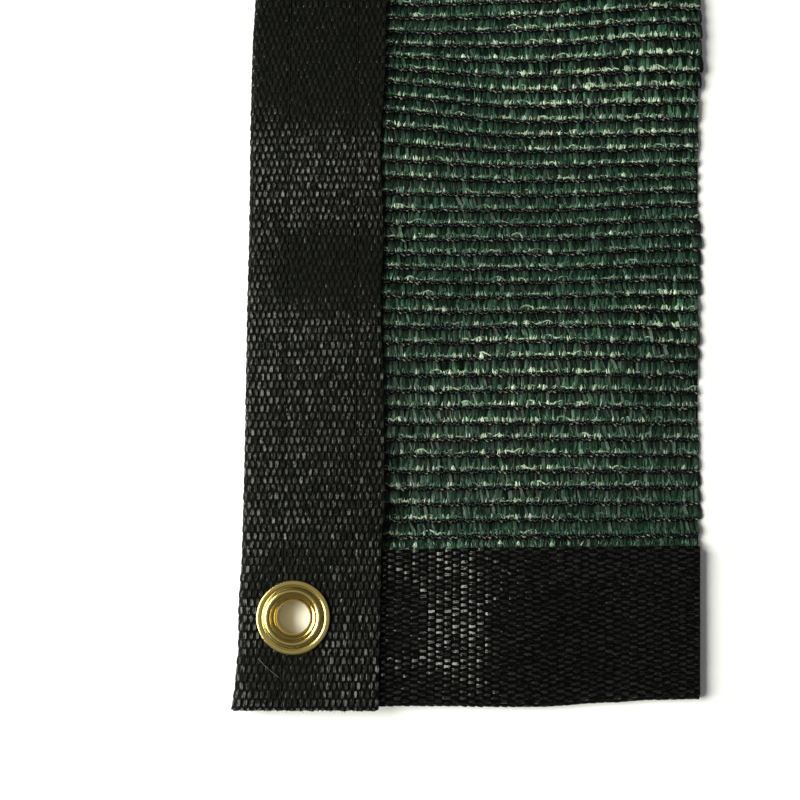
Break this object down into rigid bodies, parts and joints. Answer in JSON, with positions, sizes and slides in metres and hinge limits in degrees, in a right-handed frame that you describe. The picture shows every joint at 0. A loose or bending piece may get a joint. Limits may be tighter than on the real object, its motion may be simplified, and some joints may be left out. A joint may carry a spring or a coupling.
{
  "type": "knitted privacy screen",
  "caption": "Bound corner of a knitted privacy screen: green ribbed knit edged with folded black webbing, with a brass eyelet to lace or hook it up, lying flat as a cut length.",
  "frame": {"origin": "middle of the outline, on the surface that the screen lies on", "axes": "+X to the right across the face, away from the side binding; +Y up along the side binding, away from the eyelet; +Z out of the face"},
  "size_m": [0.1326, 0.2102, 0.0093],
  "materials": {
    "knit": "flat green polyethylene tapes, satin, laid between black knitted chains",
    "webbing": "black woven polypropylene webbing, slightly shiny floats",
    "brass": "bright polished yellow brass"
  },
  "bodies": {
    "root": {"knit_panel": "knit", "side_binding": "webbing", "bottom_binding": "webbing", "grommet": "brass", "grommet_washer": "brass"}
  },
  "joints": []
}
